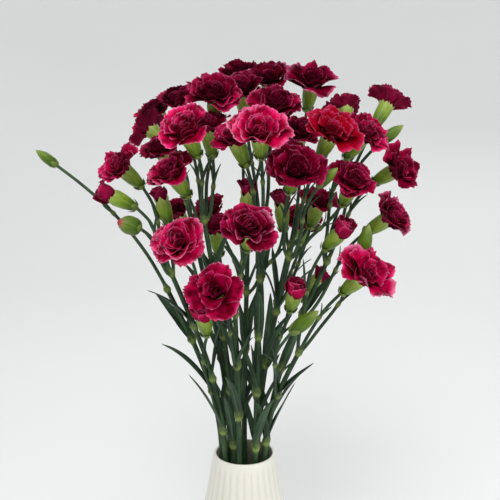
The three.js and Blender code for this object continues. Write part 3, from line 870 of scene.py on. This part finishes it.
# %% Calyx green
calyx_green, tree, shader = new_material("calyx_green", IOR=1.4, Specular_IOR_Level=0.4)
place = node(tree, "TexCoord").outputs["Object"]
surface = node(tree, "UVMap", uv_map="UVMap").outputs[0]
spots = use(tree, mottled, Place=place, Coarse=70.0, Fine=1500.0)
lines = use(tree, veins, Surface=surface, Count=36.0, Wander=1.5)
split = node(tree, "SeparateXYZ", {0: surface}).outputs
fresh = mix(tree, spots["Patches"], colour("3c5c04"), colour("70901a"))
streaked = mix(tree, math(tree, "MULTIPLY", lines["Lines"], 0.55), fresh, colour("9cb438"))
young = math(tree, "MULTIPLY", attribute(tree, "young"), 0.6)
unripe = mix(tree, young, streaked, colour("34520e"))
foot = mix(tree, spread(tree, split[1], 0.0, 0.62, 0.9, 0.0), unripe, colour("2c4808"))
lip = mix(tree, attribute(tree, "pale"), foot, colour("bcc674"))
blushed = mix(tree, attribute(tree, "blush"), lip, colour("a01c44"))
waxy = spread(tree, spots["Specks"], 0.3, 0.7, 0.3, 0.45)
join(tree, shader, blushed, waxy, lines["Height"], 0.5, 0.3 * mm)
print("material", calyx_green.name)

# %% Outlines turned round an axis
tooth_count, calyx_around = 5, 30


def square_pair(axis):
    """Two directions square to an axis and to each other, in right-handed order."""
    first = unit(np.cross(axis, [0.31, 0.95, 0.04]))
    return first, np.cross(axis, first)


def turned(head, outline, rise, pinch):
    """An outline of (height, radius) turned round the head's axis. rise lifts each level into
    teeth and gaps, and pinch makes its section five-sided."""
    first, second = square_pair(head["axis"])
    turn = np.linspace(0, 2 * np.pi, calyx_around, endpoint=False)
    tooth = 1 - np.abs((turn * tooth_count / (2 * np.pi)) % 1 - 0.5) * 2
    height = outline[:, :1] + rise[:, None] * (tooth**1.3 - 0.35)
    radius = outline[:, 1:] * (1 + pinch[:, None] * np.cos(tooth_count * turn))
    ring = np.cos(turn)[None, :, None] * first + np.sin(turn)[None, :, None] * second
    return head["neck"] + radius[..., None] * ring + height[..., None] * head["axis"]


print("corners per tooth:", calyx_around // tooth_count)

# %% Scales
scale_rows, scale_columns = 6, 5


def scale_parts(head, radius, long, rng):
    """Four small pointed scales that clasp the base of a calyx or bud. A scale's width follows a
    sine that starts wide, and it is wrapped round the axis at a distance that grows upwards."""
    first, second = square_pair(head["axis"])
    v = np.linspace(0, 1, scale_rows)[:, None, None]
    u = np.linspace(-1, 1, scale_columns)[None, :, None]
    half = radius * 0.72 * np.sin(np.pi * (0.12 + 0.85 * v) ** 0.8)
    away = radius * np.interp(v, [0, 0.3, 0.7, 1], [0.55, 0.92, 1.12, 1.2]) + 0.35 * mm
    turned_by = u * half / away
    uv_rows, uv_columns = np.linspace(0, 0.5, scale_rows), np.linspace(0, 1, scale_columns)
    uv = np.stack(np.meshgrid(uv_columns, uv_rows), axis=-1)
    thick = np.full((1, scale_rows, scale_columns), 0.5 * mm)
    parts = []
    for k in range(4):
        turn = k * np.pi / 2 + 0.4 + rng.normal(0, 0.08)
        out = np.cos(turn) * first + np.sin(turn) * second
        across = np.cross(head["axis"], out)
        base = head["neck"] + head["axis"] * (long * v - 0.6 * mm)
        grid = base + away * (out * np.cos(turned_by) + across * np.sin(turned_by))
        points, triangles, corners, _ = sheet(grid[None], thick, uv)
        parts.append((points, triangles, corners, {"pale": 0.15, "blush": 0.0, "young": 0.4}))
    return parts


print("four scales to a calyx,", scale_rows, "rows each")

# %% Calyces
# The outline runs up the outside, over the lip and down the inside. Only the places near the lip
# rise into teeth, and they are the pale ones.
calyx_length = 28 * mm
calyx_heights = [0.2, 1.2, 3, 6, 10, 14, 18, 22, 25, 27.2, 28.8, 28.7, 27, 22, 16]
calyx_radii = [1.8, 3.3, 4.2, 5.3, 6.3, 7.0, 7.4, 7.6, 7.7, 7.9, 8.5, 8.2, 7.4, 6.6, 4.5]
calyx_outline = np.column_stack([calyx_heights, calyx_radii]) * mm
calyx_rise = np.array([0, 0, 0, 0, 0, 0, 0, 0.3, 1.2, 2.8, 5.4, 5.4, 3.0, 0, 0]) * mm
calyx_pale = np.array([0, 0, 0, 0, 0, 0, 0.05, 0.15, 0.3, 0.5, 0.7, 0.9, 1, 1, 1])


def calyx_parts(head, rng):
    """A calyx and its scales. Under a half-open bloom its upper part is narrower."""
    outline = calyx_outline.copy()
    outline[8:, 1] *= 0.86 if head["kind"] == "half" else 1.0
    rings = turned(head, outline, calyx_rise, np.zeros(len(outline)))
    top, bottom = head["neck"] + head["axis"] * 14 * mm, head["neck"]
    heights = np.concatenate([[0], np.clip(outline[:, 0] / calyx_length, 0, 1), [1]])
    points, triangles, uv = closed_rings(rings, bottom, top, heights)
    pale = np.append(np.repeat(calyx_pale, calyx_around), [0, 1])
    part = (points, triangles, uv, {"pale": pale, "blush": 0.0, "young": 0.0})
    return [part] + scale_parts(head, 5.2 * mm, 7 * mm, rng)


print("calyx", calyx_length / mm, "mm long,", 2 * max(calyx_radii), "mm wide")

# %% Buds
# A bud's heights are shares of its length, and its radii are shares of its widest one.
bud_heights = [0.01, 0.05, 0.13, 0.24, 0.36, 0.5, 0.62, 0.74, 0.84, 0.92, 0.97]
bud_radii = [0.3, 0.58, 0.8, 0.94, 1, 0.99, 0.9, 0.72, 0.5, 0.29, 0.12]
bud_outline = np.column_stack([bud_heights, bud_radii])
opening_buds = ("b3",)  # a touch of red shows at the tip


def bud_parts(head, rng):
    """A bud and its scales. Towards the tip it becomes five-sided."""
    outline = bud_outline * [head["long"], head["width"] * 0.9]
    share = bud_outline[:, 0]
    opening = head["name"] in opening_buds
    rings = turned(head, outline, 0 * share, 0.07 * share**2)
    tip = head["neck"] + head["axis"] * head["long"]
    heights = np.concatenate([[0], share, [1]])
    points, triangles, uv = closed_rings(rings, head["neck"], tip, heights)
    pale = np.repeat(np.clip((share - 0.7) * 1.2, 0, 0.3), calyx_around)
    blush = np.repeat(np.clip((share - 0.8) * 8, 0, 0.9) * opening, calyx_around)
    pale, blush = np.append(pale, [0, 0.3]), np.append(blush, [0, opening])
    marks = {"pale": pale, "blush": blush, "young": 1.0}
    scales = scale_parts(head, head["width"] * 0.7, head["long"] * 0.3, rng)
    return [(points, triangles, uv, marks)] + scales


print("buds are made of", len(bud_outline), "rings")

# %% Calyces and buds on each spray
for spray in sprays:
    rng = np.random.default_rng(100 + ord(spray))
    blooms = [head for head in by_spray[spray] if head["kind"] != "bud"]
    parts = [part for head in blooms for part in calyx_parts(head, rng)]
    piece("calyces_" + spray, parts, calyx_green, [head["node"] for head in blooms])
    buds = [head for head in by_spray[spray] if head["kind"] == "bud"]
    for head in buds:
        piece("greenbud_" + head["name"], bud_parts(head, rng), calyx_green, [head["node"]])
    print(spray, len(blooms), "calyces and", len(buds), "buds")

# %% [markdown]
# ## Petals
# A carnation's petal has a narrow claw inside the calyx and a broad fan outside it, with a
# toothed edge that is longer than the room it has, so it ruffles. Petals open outwards in turn:
# the outer ones lie flat or hang a little, and the inner ones still stand up and crowd each
# other. One formula with a few numbers that change from the outer to the inner petals gives the
# whole bloom. A cloth simulation could make the ruffles too, but a wave that grows towards the
# edge does it in a moment, the same every time.

# %% [markdown]
# ## The petals' colours
# The petals are a deep crimson. Shade is painted into them, darkest down in the claw and the heart
# of a bloom, and each bloom gets an amount of painted light: the ones given most of it flush pink
# towards the edge as a painted highlight, and the others are painted darker. Some outer petals have
# faded, and a petal's back is duller than its face. An image could be painted for each petal, but
# there are hundreds. Here one material reads marks that each mesh carries: how much painted light
# the bloom gets, how faded the petal is, and which side is its back.

# %% Petal surface
petal_red, tree, shader = new_material("petal_red", IOR=1.36, Specular_IOR_Level=0.03)
surface = node(tree, "UVMap", uv_map="UVMap").outputs[0]
place = node(tree, "TexCoord").outputs["Object"]
split = node(tree, "SeparateXYZ", {0: surface}).outputs
# The bloom's painted light: near 1 its petals are painted lit, near 0 they are painted in shade.
painted_light = attribute(tree, "painted_light")
seed = math(tree, "MULTIPLY", painted_light, 37.0)
lines = use(tree, veins, Surface=surface, Count=30.0, Wander=1.3, Seed=seed)
spots = use(tree, mottled, Place=place, Coarse=120.0, Fine=2500.0)
# Each colour runs from a painted-shade copy to a painted-lit copy by the bloom's painted light.
deep = mix(tree, painted_light, colour("24000a"), colour("800020"))
lit = mix(tree, painted_light, colour("480011"), colour("ec0456"))
cool = mix(tree, spots["Patches"], deep, lit)
body = mix(tree, math(tree, "MULTIPLY", attribute(tree, "warm"), 0.75), cool, colour("a4000e"))
veined = mix(tree, math(tree, "MULTIPLY", lines["Lines"], 0.4), body, colour("240008"))
towards_edge = math(tree, "ADD", split[1], math(tree, "MULTIPLY", lines["Height"], 0.09))
flush = math(tree, "MULTIPLY", spread(tree, towards_edge, 0.86, 1.05, 0.0, 0.66), spots["Patches"])
faded = attribute(tree, "faded")
# The larger of the bloom's painted light and the petal's real fading sets how strongly its edge
# turns pale.
light = math(tree, "MAXIMUM", painted_light, faded)
pink = mix(tree, faded, colour("f24490"), colour("ff96c8"))
# Towards the edge: a painted pink highlight on blooms given painted light, and real pale pink on
# faded petals.
highlighted_and_faded_edge = mix(tree, math(tree, "MULTIPLY", flush, light), veined, pink)
edge = math(tree, "MULTIPLY", spread(tree, towards_edge, 0.98, 1.07, 0.0, 0.6), lines["Lines"])
# The thin pale rim is the petal's own colour, painted brighter where the bloom gets more painted
# light.
rimmed = mix(tree, edge, highlighted_and_faded_edge, mix(tree, light, colour("b42c64"), colour("ffa6c8")))
# Painted shade: the petal darkens towards its claw, down in the heart of the bloom.
claw = mix(tree, spread(tree, split[1], 0.15, 0.7, 0.85, 0.0), rimmed, colour("2c000c"))
back = mix(tree, lines["Lines"], colour("6c0a2c"), colour("962652"))
paler_back = mix(tree, faded, back, colour("e080ac"))
under = math(tree, "MULTIPLY", attribute(tree, "under"), spread(tree, faded, 0, 1, 0.45, 0.7))
both_sides = mix(tree, under, claw, paler_back)
matt = spread(tree, spots["Specks"], 0.3, 0.7, 0.55, 0.7)
join(tree, shader, both_sides, matt, lines["Height"], 0.5, 0.35 * mm)
print("material", petal_red.name)

# %% The petal's grid and midline
petal_rows, petal_columns = 8, 21
petal_v = np.linspace(0.1, 1, petal_rows) ** 0.9
petal_u = np.linspace(-1, 1, petal_columns)
petal_uv = np.stack(np.meshgrid(petal_u / 2 + 0.5, petal_v), axis=-1)
golden = np.radians(137.5)  # the turn from one petal to the next, as in most flowers
inside_calyx = 6 * mm
midline_steps = 40


def between(share, *values):
    """A value for each petal, on a line through these values from the outermost petal to the
    innermost."""
    return np.interp(share, np.linspace(0, 1, len(values)), values)[:, None, None]


def midline(long, start_angle, end_angle, down):
    """Distance out, distance up and lean of the petals' midlines at these distances down them. The
    lean turns from its start to its end once a petal is out of its calyx. Its sine and cosine are
    summed into tables, which are then read between their steps."""
    steps = np.linspace(0, 1, midline_steps + 1)[None, None, :]
    begin = inside_calyx / long
    turned_out = np.clip((steps - begin * 0.8) / (1 - begin * 0.8), 0, 1)
    lean = start_angle + (end_angle - start_angle) * turned_out**0.8 * (1.6 - 0.6 * turned_out)
    out = np.cumsum(np.sin(lean), axis=2) * long / (midline_steps + 1)
    up = np.cumsum(np.cos(lean), axis=2) * long / (midline_steps + 1)
    where = np.clip(down / long * midline_steps, 0, midline_steps - 0.001)
    where = where.reshape(len(down), 1, -1)
    k = where.astype(int)
    f = where - k

    def read(table):
        """The table's values between its steps: low * (1 - f) + high * f."""
        low, high = np.take_along_axis(table, k, 2), np.take_along_axis(table, k + 1, 2)
        return (low * (1 - f) + high * f).reshape(down.shape)

    return read(out), read(up), read(lean)


print("each petal has", 4 * (petal_rows - 1) * (petal_columns - 1), "triangles")


# %% The petal formula
def petals_of(head, count, shape, rng):
    """Petals on a head. Along its midline a petal turns from upright to its own final lean; across
    it the fan is wrapped on a cylinder (the cup), and waves that grow towards the edge ruffle it.
    Each petal differs a little from its neighbours in length, lean, width, teeth and waves."""

    def jitter(size):
        """A random amount for each petal, spread round 0 by this size."""
        return rng.normal(0, size, (count, 1, 1))

    def phase():
        """Where each petal's wave begins."""
        return rng.uniform(0, 6.3, (count, 1, 1))

    axis = head["axis"]
    first, second = square_pair(axis)
    share = np.linspace(0, 1, count)
    w = head["width"]
    long = inside_calyx + between(share, *shape["long"]) * w * mm * (1 + jitter(0.07))
    openness = rng.uniform(0.86, 1.08)
    end_angle = between(share, *shape["angle"]) * openness * (1 + jitter(0.1)) + jitter(5)
    end_angle = np.radians(end_angle)
    start_angle = np.radians(between(share, *shape["start"]))
    cup = between(share, *shape["cup"]) * mm * w
    v, u = petal_v[None, :, None], petal_u[None, None, :]
    teeth = 0.026 * np.cos(np.pi * petal_u * 10)[None, None, :]
    teeth = teeth + rng.normal(0, 0.016, (count, 1, petal_columns))
    fan = v * (1 - 0.3 * np.abs(u) ** 3.5) * (1 + teeth * v**8)
    half = np.radians(between(share, *shape["fan"])) * (1 + jitter(0.06))
    down = long * fan * np.cos(half * u)
    across = long * fan * np.sin(half * u)
    out, up, angle = midline(long, start_angle, end_angle, down)
    waves = between(share, *shape["waves"]) + rng.integers(0, 2, (count, 1, 1))
    swing = between(share, *shape["ruffle"]) * mm * w * (1 + jitter(0.25))
    ruffle = swing * v**2.2 * np.sin(np.pi * waves * u + phase())
    ruffle += 0.35 * mm * v**5 * np.sin(np.pi * waves * 2.3 * u + phase())
    lift = cup * (1 - np.cos(across / cup)) + ruffle
    sideways = cup * np.sin(across / cup) + jitter(0.07) * long * v**2
    start_out = between(share, *shape["base"]) * mm
    outward = start_out + out - lift * np.cos(angle)
    upward = calyx_length - inside_calyx + up + lift * np.sin(angle)
    turn = golden * np.arange(count)[:, None, None] + jitter(0.22)
    radial = np.cos(turn)[..., None] * first + np.sin(turn)[..., None] * second
    tangent = np.cross(axis, radial)
    places = head["neck"] + outward[..., None] * radial + sideways[..., None] * tangent
    places = places + upward[..., None] * axis
    thick = np.broadcast_to(0.45 * mm * (1.2 - v), (count, petal_rows, petal_columns))
    points, triangles, uv, under = sheet(places, thick, petal_uv)
    # The bloom's painted light, varied a little for each petal; where inner is below 0, shade is
    # painted towards the bloom's heart.
    painted_light = head["painted_light"] + rng.normal(0, 0.1, count) + shape["inner"] * (share - 0.5)
    fades = head["name"] in faded_blooms
    faded = fades * (rng.random(count) < 0.5) * (share < 0.4) * rng.uniform(0.5, 1, count)
    each = len(points) // count
    marks = {
        "under": under,
        "painted_light": np.repeat(np.clip(painted_light, 0, 1), each),
        "faded": np.repeat(faded, each),
        "warm": float(head["name"] in warm_blooms),
    }
    return points, triangles, uv, marks


print("open and half-open blooms to fill:", sum(head["kind"] != "bud" for head in heads))

# %% Shapes of bloom
# Each row of numbers runs from the outermost petal to the innermost. long, cup, ruffle and base are
# in mm: the petal beyond its claw, the radius it is cupped to, its waves, and its foot's distance
# from the axis. angle and start are its lean from upright in degrees, at its tip and in the calyx,
# and fan is half its spread in degrees. waves is how many ripples cross it, and some petals get one
# more. inner is how much painted light the inner petals get against the outer ones: below 0, shade
# is painted into the heart of the bloom.
full_bloom = dict(
    count=20,
    inner=-0.25,
    long=(20.5, 19.5, 17.5, 16.5, 15, 13.5),
    angle=(98, 84, 62, 44, 24, 4),
    start=(10, 9, 7, 5, 3, 0),
    cup=(38, 26, 15, 11, 7, 4.5),
    fan=(48, 48, 46, 42, 38),
    waves=(1.1, 1.4, 1.5, 1.4, 1.2),
    ruffle=(2.6, 2.4, 2.0, 1.7, 1.3, 0.9),
    base=(5.6, 5.2, 4.4, 3.2, 1.5, 0.2),
)
flat_bloom = dict(
    count=15,
    inner=-0.3,
    long=(21, 20.5, 18, 15, 12, 10.5),
    angle=(96, 86, 70, 48, 24, 3),
    start=(10, 9, 7, 5, 3, 0),
    cup=(30, 24, 16, 11, 6, 4),
    fan=(50, 48, 44, 36, 30),
    waves=(1.2, 1.5, 1.6, 1.4, 1.2),
    ruffle=(3.0, 2.8, 2.4, 1.9, 1.3, 0.8),
    base=(5.6, 5.2, 4.4, 3.2, 1.4, 0.1),
)
half_bloom = dict(
    count=11,
    inner=-0.1,
    long=(15, 15, 15, 14.5),
    angle=(36, 26, 12, 3),
    start=(4, 3, 1, 0),
    cup=(10, 8, 6, 4.5),
    fan=(38, 38),
    waves=(1.4, 1.5, 1.2),
    ruffle=(1.0, 1.1, 0.9),
    base=(5.0, 3.6, 2.2, 0.6),
)
shut_bloom = dict(
    half_bloom,
    count=12,
    long=(16, 15.5, 15, 14),
    angle=(-6, -10, -10, -6),
    start=(40, 32, 20, 8),
    cup=(9, 8, 6, 4),
    waves=(0.8, 0.8, 0.8),
)
print("petals on a full bloom:", full_bloom["count"], "give or take two")

# %% Blooms
# How much painted light a bloom's petals get: near 1 they are painted lit, near 0 in shade. All
# others are painted darker with their height and towards the back, as if in shade.
painted_light_blooms = dict(
    a2=0.8, b1=0.6, b5=0.85, d1=0.8, d4=0.6, e1=0.4, e2=0.5, f1=0.95, f2=0.5,
    h1=0.42, h2=0.3, h4=0.9, i3=0.5, j1=0.7, j2=0.7,
)
flat_blooms = ("g1", "h1", "h2", "j1", "i1", "i3", "k1", "k4", "e2", "c4")
shut_blooms = ("a2", "b2", "h4", "j2")
warm_blooms = ("h1",)
faded_blooms = ("g1", "k1", "i2", "j1", "e2", "f1", "b5", "e1", "d4")
total = 0
for seed, head in enumerate(heads, start=500):
    if head["kind"] == "bud":
        continue
    rng = np.random.default_rng(seed)
    how_high = np.clip((head["neck"][2] - 0.42) / 0.14, 0, 1)
    how_far_back = np.clip(head["neck"][1] / 0.08, -0.5, 1)
    painted_light_by_place = 0.4 - 0.2 * how_high - 0.15 * how_far_back
    head["painted_light"] = painted_light_blooms.get(head["name"], painted_light_by_place)
    shape = half_bloom if head["kind"] == "half" else full_bloom
    shape = shut_bloom if head["name"] in shut_blooms else shape
    shape = flat_bloom if head["name"] in flat_blooms else shape
    part = petals_of(head, shape["count"] + rng.integers(-2, 3), shape, rng)
    made = piece("petals_" + head["name"], [part], petal_red, [head["node"]])
    total += len(made.data.polygons)
print("petals:", total, "faces")
